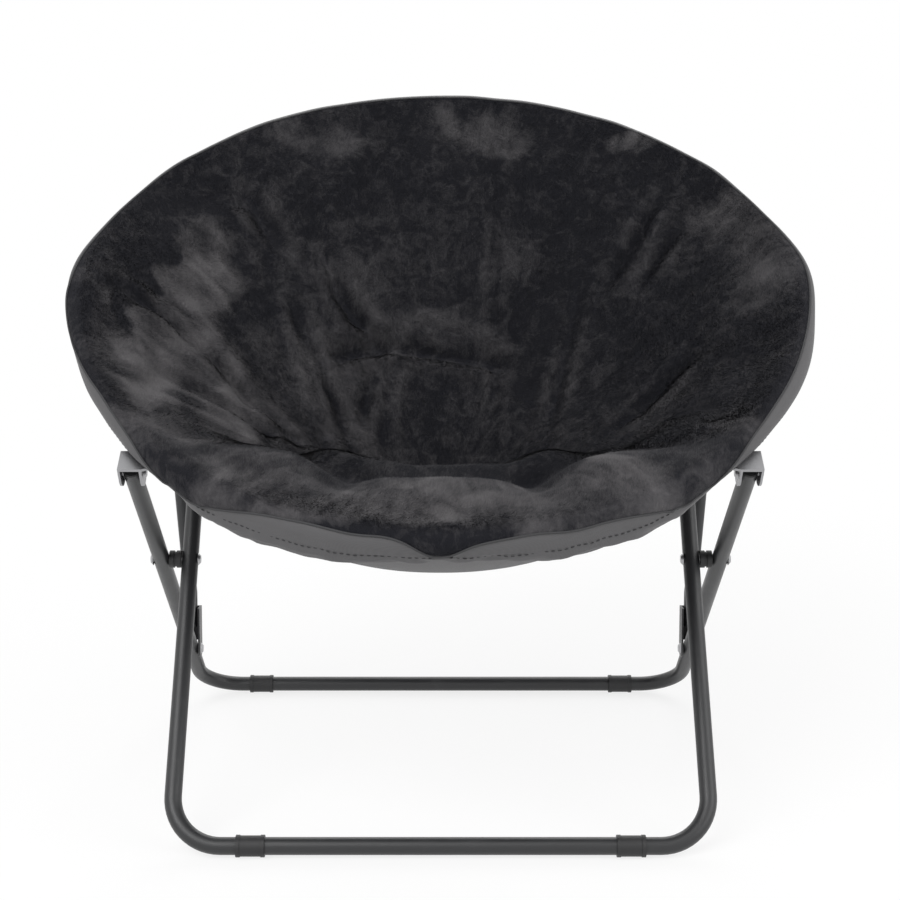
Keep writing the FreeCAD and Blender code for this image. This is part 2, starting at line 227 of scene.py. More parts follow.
coatedTube = skinMaterial("coatedTube", (0.021, 0.0215, 0.023), (0.05, 0.05, 0.052), 0.36, 0.35)
pressedSteel = skinMaterial("pressedSteel", (0.026, 0.026, 0.028), (0.1, 0.1, 0.105), 0.40, 0.3)
zincPlate = skinMaterial("zincPlate", (0.36, 0.36, 0.37), (0.24, 0.24, 0.25), 0.34, 0.2, metal=1.0)
rivetSteel = skinMaterial("rivetSteel", (0.42, 0.42, 0.43), (0.2, 0.2, 0.2), 0.33, 0.15, metal=1.0)
mouldedBlack = skinMaterial("mouldedBlack", (0.014, 0.014, 0.015), (0.03, 0.03, 0.03), 0.50, 0.5)
edgeCord = skinMaterial("edgeCord", (0.03, 0.03, 0.032), (0.06, 0.06, 0.06), 0.7, 0.6)
seamThread = skinMaterial("seamThread", (0.022, 0.022, 0.024), (0.05, 0.05, 0.05), 0.75, 0.4)


def pileMaterial(name, strand):
    # the fur side's finish, for the ground under the pile or for the strands on it
    material, tree, shader = newMaterial(name, {
        "Roughness": 0.85, "Sheen Weight": 0.04, "Sheen Roughness": 0.5,
        "Sheen Tint": (0.8, 0.79, 0.83, 1), "Specular IOR Level": 0.25})
    where = addNode(tree, "ShaderNodeTexCoord").outputs["Object"]
    # the surface's level of painted sheen and shade mixes the dark pile colour with the lit one
    napSheen = addNode(tree, "ShaderNodeAttribute", attribute_name="napSheen").outputs["Fac"]
    fur = addNode(tree, "ShaderNodeGroup", {
        "Vector": where, "Sheen Level": napSheen, "Deep": (0.0037, 0.0039, 0.0068, 1),
        "Lit": (0.112, 0.107, 0.111, 1)}, node_tree=pileSheenShade).outputs
    if strand:
        tip = addNode(tree, "ShaderNodeAttribute", attribute_name="tip").outputs["Fac"]
        # painted shade at a blade's root: its colour is darkened towards near black low on the blade
        shaded = rangeOf(tree, tip, 0.0, 0.6, 0.15, 0.0)
        colour = mixColour(tree, shaded, fur["Colour"], (0.004, 0.004, 0.005, 1))
        fillSockets(tree, shader, {"Base Color": colour})
    else:
        fillSockets(tree, shader, {
            "Base Color": fur["Colour"], "Normal": bumpOf(tree, fur["Height"], 0.7, 0.002)})
    return material


def shellMaterial():
    material, tree, shader = newMaterial("wovenShell", {
        "Roughness": 0.62, "Sheen Weight": 0.08, "Sheen Roughness": 0.4})
    where = addNode(tree, "ShaderNodeTexCoord").outputs["UV"]
    weave = addNode(tree, "ShaderNodeGroup", {
        "Vector": where, "Colour": (0.082, 0.080, 0.083, 1), "Gap Colour": (0.062, 0.061, 0.064, 1)},
        node_tree=plainWeave).outputs
    fillSockets(tree, shader, {
        "Base Color": weave["Colour"], "Normal": bumpOf(tree, weave["Height"], 0.3, 0.0003)})
    return material


charcoalPile, strandPile = pileMaterial("charcoalPile", False), pileMaterial("strandPile", True)
wovenShell = shellMaterial()

# The first word that a node's name has decides its finish
finishes = (
    ("tube", coatedTube), ("rivet", rivetSteel), ("hoop_bracket", zincPlate), ("plug", mouldedBlack),
    ("sleeve", mouldedBlack), ("spacer", mouldedBlack), ("", pressedSteel),
)
for name, node in nodes.items():
    if not name.startswith("seat"):
        node.data.materials.clear()
        node.data.materials.append(next(finish for word, finish in finishes if word in name))
print("frame finishes set")

# Padded cover: fur above, woven cloth below, sewn together along an edge round the ring
cover = {
    "pocket": 0.100,         # how far in front of the ring's centre the bowl is deepest
    "roll": 0.0105,          # radius of the padded roll where the underside leaves it
    "leastRoll": 0.0101,     # least radius of the roll, which clears the hoop's tube
    "inset": 0.0008,         # how far the roll's middle lies inside the hoop's
    "hingeHalf": 0.0170,     # half width and half height of the roll's squarer part over a hinge
    "hingeRise": 0.0188,
    "hingeSpan": 0.22,       # how far that part runs to the front and back, as a share of the radius
    "startTurn": 122,        # degrees round the roll where the fur reaches it, less this drop in front
    "startDrop": 24,
    "hemTurn": -22,          # degrees round the roll of the sewn line below its seam
    "lastTurn": -158,        # degrees round the roll where the underside leaves it
    "furDepth": 0.196,
    "shellDepth": 0.213,
    "shellEdge": 0.0058,     # how far below the ring plane the underside starts
    "furPower": 1.4,
    "shellPower": 1.25,
    "shellFrontPower": 2.4,
    "aheadFrom": 0.15,       # a ray counts as a front one between these two
    "aheadTo": 0.75,
    "columns": 224,
    "furRows": 50,
    "edgeRows": 10,
    "clothRows": 26,
    "shellRows": 16,
    "rowPower": 0.92,        # spreads the fur's rows along a ray
    "sleeveSeam": 0.955,     # share of the way out where the hoop's sleeve is sewn to the underside
    "lumps": 0.007,          # unevenness of the padding, broad and fine
    "fineLumps": 0.003,
    "rollWave": 0.0022,      # unevenness of the roll, broad and fine
    "rollRipple": 0.0016,
    "leastPadding": 0.008,   # before the folds are laid in
    "leastInFolds": 0.007,
}

# The padded roll round the hoop: degrees along the ring from the front, radius in mm
rollSize = (
    (-180, 10.8), (-150, 10.3), (-138, 10.1), (-125, 11.2), (-112, 10.6), (-100, 11.5), (-84, 11.5),
    (-78, 10.2), (-60, 10.2), (-53, 13), (-45, 15.5), (42, 15.5), (52, 15), (60, 15.5), (67, 17.5),
    (75, 17), (84, 13), (92, 11.5), (104, 10.3), (115, 10.3), (125, 11.5), (137, 10.2), (150, 10.3),
    (180, 10.8),
)

# The fur's height along a ray to the front rim: share of the way, height over the ring plane
frontProfile = (
    (0.0, -0.196), (0.083, -0.190), (0.29, -0.135), (0.44, -0.064), (0.53, -0.039), (0.59, -0.038),
    (0.645, -0.037), (0.685, -0.018), (0.72, -0.010), (0.80, -0.002), (0.875, 0.006), (1.0, 0.0134),
)

# Where fur and cloth meet on the roll: degrees along the ring from the front, degrees round the roll
seamLine = (
    (-180, 102), (-150, 98), (-130, 90), (-112, 76), (-98, 64), (-88, 56), (-81, 30), (-76, 20),
    (-69, 42), (-61, 64), (-54, 56), (-48, 40), (-44, 4), (-40, -28), (-35, -26), (-31, 6), (-25, 42),
    (-18, 54), (-11, 44), (-7, 54), (-3.5, 28), (-0.5, -40), (3.5, 26), (8, 40), (13, 46), (18, 28),
    (23, 32), (28, 16), (34, -28), (40, -20), (45, 14), (50, 48), (58, 62), (72, 66), (84, 60),
    (94, 60), (106, 70), (120, 84), (135, 92), (150, 98), (180, 102),
)

# How the cloth hangs off the roll below the seam: metres, and degrees along or round the roll
hang = {
    "leavesAt": 8,
    "span": 150,
    "belly": 0.012,
    "bellyFrom": 42,         # aside of the front, where the belly starts and where it is full
    "bellyFull": 33,
    "middleShare": 0.25,     # of the belly that is left in the middle
    "pleats": 0.0012,
    "frontPleats": 0.0036,
    "creases": 0.0065,
    "pinch": 0.0038,         # drawn in under the seam's point in the middle, with a lip beside it
    "lip": 0.0022,
    "hemGroove": 0.0018,
}

# Small forms of the underside: metres, and shares of the way out
shellForm = {
    "groove": 0.0016,
    "grooveWidth": 0.0055,
    "pleats": 0.0030,
    "pleatReach": 0.16,
    "waves": 0.0030,
    "belly": 0.006,          # on both sides of the middle in front
    "bellyAside": 0.12,
    "bellyAt": -0.235,
    "bellySize": 0.07,
}

# Folds pulled into the pile: depth and width in mm before the shares below, and a path on the ring
# plane (u, v) in mm
folds = (
    (8, 7, ((-331, 1), (-276, -3), (-218, -33), (-196, -62), (-168, -112))),
    (5, 6, ((-303, 31), (-265, 16), (-229, -13), (-205, -45))),
    (7, 7, ((-294, -76), (-227, -84), (-174, -94), (-146, -97))),
    (6, 6, ((-197, -54), (-167, -70), (-141, -93))),
    (9, 6, ((-150, 84), (-133, 38), (-110, -14), (-91, -61), (-84, -100))),
    (6, 5, ((-159, 87), (-145, 39), (-128, -10), (-114, -43))),
    (9, 7, ((-65, 67), (-93, 97), (-114, 123))),
    (8, 7, ((-65, 67), (-97, 53), (-123, 35))),
    (10, 7, ((-90, 62), (-65, 67), (-11, 68), (32, 57), (65, 44))),
    (6, 6, ((-52, 80), (-11, 87), (32, 73), (64, 51))),
    (8, 7, ((-66, 65), (-73, 22), (-84, -43))),
    (6, 6, ((-52, 59), (-56, 14), (-63, -43))),
    (4, 5, ((150, 110), (143, 76), (132, 27), (120, -19), (109, -70))),
    (3, 5, ((133, 68), (121, 7), (102, -58))),
    (6, 7, ((254, -36), (208, -73), (158, -108))),
    (5, 6, ((239, 184), (220, 164), (203, 135), (176, 96))),
    (5, 6, ((254, 139), (233, 119), (215, 83))),
    (4, 6, ((-221, 157), (-189, 137), (-178, 103))),
    (6, 9, ((322, -10), (300, 2))),
    (2, 5, ((62, 250), (60, 140), (58, 20), (56, -70))),
    (5, 8, ((-210, 210), (-190, 170), (-170, 130))),
)
foldShape = {"depth": 0.55, "width": 1.1, "ridge": 0.95, "ridgeAway": 2.1, "ridgeWidth": 1.2, "steps": 40}

# Places where the pile is drawn down, or stands proud below nought: u, v, depth and spread in mm
dimples = (
    (-92, -262, 26, 30), (88, -262, 26, 30), (-66, 66, 9, 26), (-222, -205, 10, 26), (205, -215, 10, 26),
    (150, -210, 12, 46), (-150, -205, 9, 46), (0, -282, -4, 34), (146, -262, -7, 30), (-160, -255, -6, 30),
    (-20, 130, -5, 60), (150, 160, -5, 60), (-190, 30, -5, 50), (-10, 0, -4, 40), (200, 20, -5, 50),
)

# Painted sheen on the pile (above nought) or painted shade (below nought): u, v, half width, half height in
# mm, strength
sheenShadePatches = (
    (-257, 92, 37, 58, 0.80), (-277, -68, 34, 62, 0.70), (-222, -52, 38, 56, 0.45),
    (-196, -103, 26, 53, 0.65), (-304, 116, 20, 28, -0.40), (-283, 42, 18, 30, 0.60),
    (-254, -112, 30, 38, 0.75), (-202, -145, 26, 26, 0.35), (-116, 292, 46, 13, 0.38),
    (46, 303, 34, 18, 0.36), (44, 285, 60, 25, 0.12), (198, 262, 36, 16, 0.60), (66, 161, 36, 48, 0.25),
    (-114, 158, 44, 38, 0.25), (234, 84, 40, 50, 0.05), (331, 48, 22, 70, 0.42), (298, 146, 26, 36, 0.45),
    (263, -215, 28, 40, 0.40), (-311, 30, 14, 76, -0.60), (125, 193, 80, 90, -0.14),
    (215, 20, 90, 80, -0.08), (-22, 31, 90, 22, 0.04), (-77, -11, 34, 44, 0.16), (-246, 20, 30, 50, 0.55),
    (163, -15, 42, 58, 0.10), (104, 13, 26, 78, -0.12), (-151, -1, 40, 76, 0.24), (215, -120, 34, 46, 0.30),
    (-160, -272, 66, 24, 0.80), (2, -270, 66, 20, 0.45), (50, -248, 26, 14, 0.35),
    (126, -266, 40, 24, 0.78), (10, -330, 18, 14, 0.80), (0, -322, 240, 30, 0.62),
    (0, -275, 230, 30, 0.34), (-262, -190, 40, 50, 0.35), (-330, -60, 16, 60, 0.40),
)


def rollRadius(angle, turn):
    # the table and a little unevenness; over the two hinges the section is a rounded square
    x, y = np.cos(angle), np.sin(angle)
    wave = cover["rollWave"] * (valueNoise(x, y, 4.5, 8) - 0.5)
    wave = wave + cover["rollRipple"] * (valueNoise(x, y, 11, 9) - 0.5)
    plain = np.maximum(softTable(rollSize, fromFront(angle), 2.5) / 1000 + wave, cover["leastRoll"])
    wide, tall = np.abs(np.cos(turn)) / cover["hingeHalf"], np.abs(np.sin(turn)) / cover["hingeRise"]
    near = np.exp(-(y / cover["hingeSpan"]) ** 2)
    return plain * (1 - near) + near * (wide ** 6 + tall ** 6) ** (-1 / 6)


def clothHang(angle, turn):
    # how far the cloth stands off the roll: belly and pleats in front, creases, the pinched middle
    # and the groove of the hem's sewn line
    along, down = fromFront(angle), np.degrees(turn)
    aside = np.abs(along)
    middle = hang["middleShare"] + (1 - hang["middleShare"]) * smoothStep(4, 20, aside)
    full = smoothStep(hang["bellyFrom"], hang["bellyFull"], aside) * middle
    bell = np.sin(math.pi * np.clip((-down - hang["leavesAt"]) / hang["span"], 0, 1))
    pleats = valueNoise(along * 0.04, down * 0.012, 11, 61) - 0.5
    pleats = (hang["pleats"] + hang["frontPleats"] * smoothStep(60, 20, aside)) * pleats
    creases = valueNoise(along * 0.05, down * 0.05 + along * 0.012, 11, 62) - 0.5
    creases = hang["creases"] * creases * smoothStep(46, 34, aside)
    pinch = hang["lip"] * np.exp(-((aside - 3.4) / 1.6) ** 2) - hang["pinch"] * np.exp(-(aside / 1.1) ** 2)
    groove = hang["hemGroove"] * np.exp(-((down - cover["hemTurn"]) / 4) ** 2)
    return bell * (hang["belly"] * full + pleats + creases + pinch) - groove


def rollPoint(angle, turn, proud=0.0):
    # a point on the roll: out from the ring's centre by the cosine of its turn, up by the sine
    radius = rollRadius(angle, turn) + clothHang(angle, turn) + proud
    out = ring["radius"] - cover["inset"] + radius * np.cos(turn)
    return out * np.cos(angle), out * np.sin(angle), radius * np.sin(turn)


def seamTurn(angle):
    return np.radians(softTable(seamLine, fromFront(angle), 1.6))


def rayLength(u, v):
    # distance from the pocket, and the ray's slope to the back
    length = np.maximum(np.hypot(u, v + cover["pocket"]), 1e-6)
    return length, (v + cover["pocket"]) / length


def rayShare(u, v, reach):
    # distance from the pocket over the same ray's distance to a circle round the ring's centre
    length, uphill = rayLength(u, v)
    half = cover["pocket"] * uphill
    return length / (half + np.sqrt(half ** 2 + reach ** 2 - cover["pocket"] ** 2))


def aheadness(u, v):
    # how much a point's ray runs to the front
    return smoothStep(cover["aheadFrom"], cover["aheadTo"], -rayLength(u, v)[1])


def shellHeight(share, ahead):
    # the underside falls from the rim by one minus a power of the share of the way out
    edge = cover["shellEdge"]
    power = cover["shellPower"] + (cover["shellFrontPower"] - cover["shellPower"]) * ahead
    return -edge - (cover["shellDepth"] - edge) * (1 - np.minimum(share, 1) ** power)


def shellRelief(u, v, share, angle):
    # a groove at the sleeve's seam, pleats that run in from it, slow waves, and a slight belly in front
    form = shellForm
    inward = cover["sleeveSeam"] - share
    groove = form["groove"] * np.exp(-(inward / form["grooveWidth"]) ** 2)
    pleats = valueNoise(np.cos(angle) + 0 * share, np.sin(angle) + 0 * share, 17, 51) - 0.3
    fade = np.exp(-(np.maximum(inward, 0) / form["pleatReach"]) ** 2)
    pleats = form["pleats"] * np.maximum(pleats, 0) * fade
    waves = form["waves"] * valueNoise(u, v, 15, 52)
    waves = waves * smoothStep(0.0, 0.35, share) * smoothStep(0.97, 0.85, share)
    belly = form["belly"] * np.exp(-((np.abs(u) - form["bellyAside"]) / form["bellySize"]) ** 2)
    belly = belly * np.exp(-((v - form["bellyAt"]) / form["bellySize"]) ** 2)
    return pleats + waves + groove - belly * smoothStep(1.0, 0.9, share)


def furHeight(share, ahead, end):
    # a power of the share at the sides and back, and the pillow's profile towards the front
    side = end - (cover["furDepth"] + end) * (1 - share ** cover["furPower"])
    front = softTable(frontProfile, share, 0.012) + (end - frontProfile[-1][1]) * share ** 6
    return side * (1 - ahead) + front * ahead


def foldRelief(u, v):
    # each fold: a trough of one gaussian between two low ridges, fading at both ends
    total = np.zeros_like(u)
    last = foldShape["steps"] - 1
    for depth, width, path in folds:
        depth, spread = foldShape["depth"] * depth / 1000.0, foldShape["width"] * width / 1000.0
        corners = np.array(path) / 1000.0
        steps = np.linspace(0, len(corners) - 1, last + 1)
        index = np.minimum(steps.astype(int), len(corners) - 2)
        part = (steps - index)[:, None]
        near = np.full(u.shape, 9.0)
        where = np.zeros_like(u)
        for k, (a, b) in enumerate(corners[index] * (1 - part) + corners[index + 1] * part):
            gap = np.hypot(u - a, v - b)
            where = np.where(gap < near, k / last, where)
            near = np.minimum(gap, near)
        fade = np.sin(np.clip(where, 0.04, 0.96) * math.pi) ** 0.5
        trough = np.exp(-(near / spread) ** 2)
        ridge = np.exp(-((near - foldShape["ridgeAway"] * spread) / (foldShape["ridgeWidth"] * spread)) ** 2)
        total += depth * fade * (foldShape["ridge"] * ridge - trough)
    return total


def dimpleRelief(u, v):
    total = np.zeros_like(u)
    for a, b, depth, spread in dimples:
        total -= depth / 1000 * np.exp(-(((u - a / 1000) ** 2 + (v - b / 1000) ** 2) / (spread / 1000) ** 2))
    return total


def furSide(angle, start):
    # rows along rays from the pocket to where the fur meets the roll, kept clear of the underside
    full = rollRadius(angle, start)
    out = ring["radius"] - cover["inset"] + full * np.cos(start)
    share = (np.linspace(0, 1, cover["furRows"] + 1)[1:-1] ** cover["rowPower"])[:, None]
    u = share * out * np.cos(angle)
    v = -cover["pocket"] + share * (out * np.sin(angle) + cover["pocket"])
    ahead = aheadness(u, v)
    lumps = cover["lumps"] * (valueNoise(u, v, 13, 3) - 0.5)
    lumps = lumps + cover["fineLumps"] * (valueNoise(u, v, 31, 5) - 0.5)
    w = furHeight(share, ahead, full * np.sin(start))
    w = w + dimpleRelief(u, v) * smoothStep(1.0, 0.88, share) + lumps * smoothStep(1, 0.85, share)
    under = shellHeight(rayShare(u, v, ring["radius"] - 0.015), ahead)
    return u, v, np.maximum(w, under + cover["leastPadding"])


def shellPoint(angle, share):
    # a point on the underside at a share of the way from the pocket to where it leaves the roll
    hem = ring["radius"] - cover["inset"] + cover["roll"] * math.cos(math.radians(cover["lastTurn"]))
    u = share * hem * np.cos(angle)
    v = -cover["pocket"] + share * (hem * np.sin(angle) + cover["pocket"])
    return u, v, shellHeight(share, aheadness(u, v)) + shellRelief(u, v, share, angle)


def gridQuads(rows, columns, closed=False):
    # faces between rows that are rings of points; closed joins the last row to the first
    r, c = np.meshgrid(np.arange(rows if closed else rows - 1), np.arange(columns), indexing="ij")
    here, below, right = r * columns, (r + 1) % rows * columns, (c + 1) % columns
    return np.stack([here + c, here + right, below + right, below + c], axis=-1).reshape(-1, 4)


def buildCover():
    # closed surface: over the fur side from the pocket, round the roll, and back underneath
    n = cover["columns"]
    angle = np.linspace(0, 2 * math.pi, n, endpoint=False)[None]
    start = np.radians(cover["startTurn"] - cover["startDrop"] * smoothStep(0.45, 0.95, -np.sin(angle)))
    seam, last = seamTurn(angle), np.radians(cover["lastTurn"])
    steps = np.linspace(0, 1, cover["edgeRows"])[:, None]
    edge = rollPoint(angle + 0 * steps, start + (seam - start) * steps)
    steps = (np.arange(1, cover["clothRows"] + 1) / cover["clothRows"])[:, None]
    cloth = rollPoint(angle + 0 * steps, seam + (last - seam) * steps)
    groove = cover["sleeveSeam"] + np.array([0.030, 0.018, 0.010, 0.005, 0, -0.005, -0.010, -0.018])
    share = np.concatenate([groove, np.linspace(0.92, 0, cover["shellRows"] + 1)[:-1]])[:, None]
    grid = np.concatenate([furSide(angle, start), edge, cloth, shellPoint(angle, share)], axis=1)
    m, furRows = grid.shape[1], cover["furRows"] - 1
    top = ringToRoom(*np.array([[0.0], [-cover["pocket"]], [-cover["furDepth"]]]))
    low = ringToRoom(*np.array([[0.0], [-cover["pocket"]], [-cover["shellDepth"]]]))
    points = np.concatenate([ringToRoom(*grid).reshape(-1, 3), top, low])
    quads = gridQuads(m, n)[:, ::-1]
    c = np.arange(n)
    lastRow = (m - 1) * n
    topFan = np.stack([np.full(n, m * n), c, (c + 1) % n], axis=-1)
    lowFan = np.stack([np.full(n, m * n + 1), lastRow + (c + 1) % n, lastRow + c], axis=-1)
    faces = quads.tolist() + topFan.tolist() + lowFan.tolist()
    isShell = np.zeros(len(faces), dtype=np.int32)
    isShell[(furRows + cover["edgeRows"] - 1) * n:len(quads)] = 1
    isShell[-n:] = 1
    held = np.ones(len(points))
    held[:furRows * n] = np.repeat(
        smoothStep(0.90, 0.985, np.linspace(0, 1, furRows + 1)[1:] ** cover["rowPower"]), n)
    held[m * n] = 0
    return points, faces, isShell, held


def addMesh(name, points, faces, materials, smooth=True):
    # faces is an array of one face size, or a list of lists
    mesh = bpy.data.meshes.new(name)
    if isinstance(faces, np.ndarray):
        count, size = faces.shape
        mesh.vertices.add(len(points))
        mesh.vertices.foreach_set("co", np.ascontiguousarray(points, dtype=np.float32).ravel())
        mesh.loops.add(count * size)
        mesh.loops.foreach_set("vertex_index", np.ascontiguousarray(faces, dtype=np.int32).ravel())
        mesh.polygons.add(count)
        mesh.polygons.foreach_set("loop_start", np.arange(0, count * size, size, dtype=np.int32))
        mesh.update(calc_edges=True)
    else:
        mesh.from_pydata(np.asarray(points).tolist(), [], faces)
        mesh.update()
    for material in materials:
        mesh.materials.append(material)
    mesh.polygons.foreach_set("use_smooth", np.full(len(mesh.polygons), smooth))
    piece = bpy.data.objects.new(name, mesh)
    bpy.context.scene.collection.objects.link(piece)
    return piece


def pointsOf(mesh):
    flat = np.empty(len(mesh.vertices) * 3)
    mesh.vertices.foreach_get("co", flat)
    return flat.reshape(-1, 3)


def setPoints(mesh, points):
    mesh.vertices.foreach_set("co", points.ravel())
    mesh.update()


def setValues(mesh, name, values):
    mesh.attributes.new(name, "FLOAT", "POINT").data.foreach_set("value", values.astype(np.float32))


def furFaces(mesh):
    # vertices of the fur side's faces, as triangles
    mesh.calc_loop_triangles()
    count = len(mesh.loop_triangles)
    corner = np.empty(count * 3, dtype=np.int32)
    mesh.loop_triangles.foreach_get("vertices", corner)
    owner = np.empty(count, dtype=np.int32)
    mesh.loop_triangles.foreach_get("polygon_index", owner)
    finish = np.empty(len(mesh.polygons), dtype=np.int32)
    mesh.polygons.foreach_get("material_index", finish)
    return corner.reshape(-1, 3)[finish[owner] == 0]


# Cloth: the pile side is filled by pressure and held along the seam and by the folds
padding = {
    "steps": 20,
    "cap": 0.009,            # no point moves further
    "foldHold": 0.005,       # a fold this deep is held nearly still
    "cloth": {
        "quality": 4, "mass": 0.25, "tension_stiffness": 12, "compression_stiffness": 6,
        "shear_stiffness": 4, "bending_stiffness": 0.6, "use_pressure": True,
        "uniform_pressure_force": 4.0, "shrink_min": -0.02, "vertex_group_mass": "held",
        "pin_stiffness": 1,
    },
}


def fillCover(piece, held):
    mesh = piece.data
    before = pointsOf(mesh)
    u, v, w = roomToRing(before)
    held = np.maximum(held, np.clip(-foldRelief(u, v) / padding["foldHold"], 0, 0.9))
    group = piece.vertex_groups.new(name="held")
    for i, weight in enumerate(held.tolist()):
        if weight > 0.02:
            group.add([i], weight, "REPLACE")
    modifier = piece.modifiers.new("Cloth", "CLOTH")
    for key, value in padding["cloth"].items():
        setattr(modifier.settings, key, value)
    modifier.settings.effector_weights.gravity = 0
    for step in range(1, padding["steps"] + 1):
        bpy.context.scene.frame_set(step)
    after = pointsOf(piece.evaluated_get(bpy.context.evaluated_depsgraph_get()).to_mesh())
    # a move is bent by a tanh so that it stays below the cap, less where the point is held
    move = after - before
    size = np.linalg.norm(move, axis=1, keepdims=True)
    limit = padding["cap"] * (1 - held[:, None])
    move *= np.tanh(size / np.maximum(limit, 1e-6)) * limit / np.maximum(size, 1e-9)
    piece.modifiers.remove(modifier)
    piece.vertex_groups.remove(group)
    setPoints(mesh, before + move)
    bpy.context.scene.frame_set(1)
    size = 1000 * np.linalg.norm(move, axis=1)
    print("cover filled: mean move %.1f mm, most %.1f mm" % (size.mean(), size.max()))


def subdivideCover(piece):
    # one subdivision, applied
    modifier = piece.modifiers.new("Subdivision", "SUBSURF")
    modifier.levels = modifier.render_levels = 1
    mesh = bpy.data.meshes.new_from_object(piece.evaluated_get(bpy.context.evaluated_depsgraph_get()))
    piece.modifiers.remove(modifier)
    old = piece.data
    piece.data = mesh
    bpy.data.meshes.remove(old)
    mesh.name = piece.name


def tuckCover(piece):
    # folds after the filling, kept clear of the cloth underneath
    mesh = piece.data
    u, v, w = roomToRing(pointsOf(mesh))
    share = rayShare(u, v, ring["radius"] - 0.009)
    onFur = np.zeros(len(u), dtype=bool)
    onFur[furFaces(mesh).ravel()] = True
    tucked = w + foldRelief(u, v) * smoothStep(0.97, 0.91, share)
    tucked = np.maximum(tucked, shellHeight(share, aheadness(u, v)) + cover["leastInFolds"])
    setPoints(mesh, ringToRoom(u, v, np.where(onFur & (share < 0.97), tucked, w)))


points, faces, isShell, held = buildCover()
seatCover = addMesh("seat_cover", points, faces, (charcoalPile, wovenShell))
seatCover.data.polygons.foreach_set("material_index", isShell)
print("cover built:", len(points), "points")
fillCover(seatCover, held)
subdivideCover(seatCover)
tuckCover(seatCover)


# How the pile's painted sheen and shade are spread: shares of full light, and metres for the fraying
sheenLook = {
    "fray": 0.055,
    "fineFray": 0.030,
    "ground": 0.034,
    "patches": 0.20,
    "spots": 0.13,
    "broadStroke": 0.06,
    "fineStroke": 0.09,
    "foldLightShade": 0.20,        # painted highlight on a fold's ridges and painted shade in its trough, full at this height in metres
    "foldFull": 0.003,
    "brushedSheen": 0.9,
}


def napSheenMask(u, v):
    # soft ellipses of painted sheen and shade over a patchy ground, both frayed by strokes combed towards the
    # pocket
    look = sheenLook
    du = look["fray"] * (valueNoise(u, v, 11, 31) - 0.5) + look["fineFray"] * (valueNoise(u, v, 36, 32) - 0.5)
    dv = look["fray"] * (valueNoise(u, v, 11, 33) - 0.5) + look["fineFray"] * (valueNoise(u, v, 36, 34) - 0.5)
    way, far = np.arctan2(v + cover["pocket"], u), np.hypot(u, v + cover["pocket"])
    broad = valueNoise(2.0 * np.cos(way) + 0.7 * far, 2.0 * np.sin(way) - 0.5 * far, 11, 37) - 0.5
    fine = valueNoise(5.5 * np.cos(way) + 1.6 * far, 5.5 * np.sin(way) + 1.2 * far, 11, 39) - 0.5
    sheenRag = 0.20 + 1.1 * valueNoise(u + du, v + dv, 30, 38) + 0.7 * fine
    level = look["ground"] + look["patches"] * (valueNoise(u + du, v + dv, 10, 35) - 0.5)
    level = level + look["spots"] * (valueNoise(u, v, 30, 36) - 0.5)
    level = level + look["broadStroke"] * broad + look["fineStroke"] * fine
    # painted highlight on fold ridges and painted shade in their troughs
    level = level + np.clip(foldRelief(u, v) / look["foldFull"], -0.3, 1) * look["foldLightShade"]
    for a, b, wide, high, strength in sheenShadePatches:
        gap = ((u + du - a / 1000) / (wide / 1000)) ** 2 + ((v + dv - b / 1000) / (high / 1000)) ** 2
        edge = smoothStep(2.1, 0.1, gap + broad + 0.9 * fine)
        # a patch adds painted sheen, or painted shade where its strength is below nought
        level = level + look["brushedSheen"] * strength * sheenRag * edge
    return np.clip(level, 0, 1)


def dressCover(piece):
    # UV map in metres, flat in the ring plane: u across and v up the slope; and the level of painted sheen
    # and shade
    mesh = piece.data
    u, v, w = roomToRing(pointsOf(mesh))
    loops = np.empty(len(mesh.loops), dtype=np.int32)
    mesh.loops.foreach_get("vertex_index", loops)
    flat = np.stack([u[loops], v[loops]], axis=-1).ravel()
    mesh.uv_layers.new(name="cloth").data.foreach_set("uv", flat)
    setValues(mesh, "napSheen", napSheenMask(u, v))


dressCover(seatCover)
print("cover dressed")

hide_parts("seat_front", "seat_rear")
upward = ringToRoom(0.0, 0.0, 1.0) - ringToRoom(0.0, 0.0, 0.0)


def acrossHinge(piece):
    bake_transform(piece)


acrossHinge(seatCover)

# Pile standing off the surface: blades of one triangle, leaning the way the pile was brushed
pile = {
    "pieces": 4,
    "blades": 190000,
    "length": 0.0038,
    "width": 0.00062,
    "lean": 1.6,
    "sunk": 0.0006,
    "sway": 4.5,             # radians that the way wanders, broadly and finely, and blade by blade
    "ripple": 0.8,
    "scatter": 0.22,
    "crestAt": -0.26,        # v of the front pillow's crest, where the blades lean inward
    "crestWidth": 0.05,
    "rollShare": 0.55,       # how much shorter the blades are on the roll, between these two radii
    "rollFrom": 0.343,
    "rollTo": 0.354,
    "napSheenNoise": 0.11,        # noise on each blade's own level of painted sheen and shade
}


def scatterRoots(mesh, draw):
    # places spread evenly over the fur side: the point, its smooth normal and its level of nap and painted
    # sheen
    points, corner = pointsOf(mesh), furFaces(mesh)
    a, b, c = (points[corner[:, k]] for k in range(3))
    cross = np.cross(b - a, c - a)
    area = np.linalg.norm(cross, axis=1) / 2
    n = pile["blades"]
    pick = draw.choice(len(area), n, p=area / area.sum())
    s, t = np.sqrt(draw.random(n)), draw.random(n)
    shares = np.stack([1 - s, s * (1 - t), s * t], axis=1)
    root = a[pick] * shares[:, :1] + b[pick] * shares[:, 1:2] + c[pick] * shares[:, 2:]
    normals = np.zeros_like(points)
    for k in range(3):
        np.add.at(normals, corner[:, k], cross)
    brushedSheen = np.empty(len(points), dtype=np.float32)
    mesh.attributes["napSheen"].data.foreach_get("value", brushedSheen)
    return root, unit(normals)[corner[pick, 0]], (brushedSheen[corner[pick]] * shares).sum(axis=1)


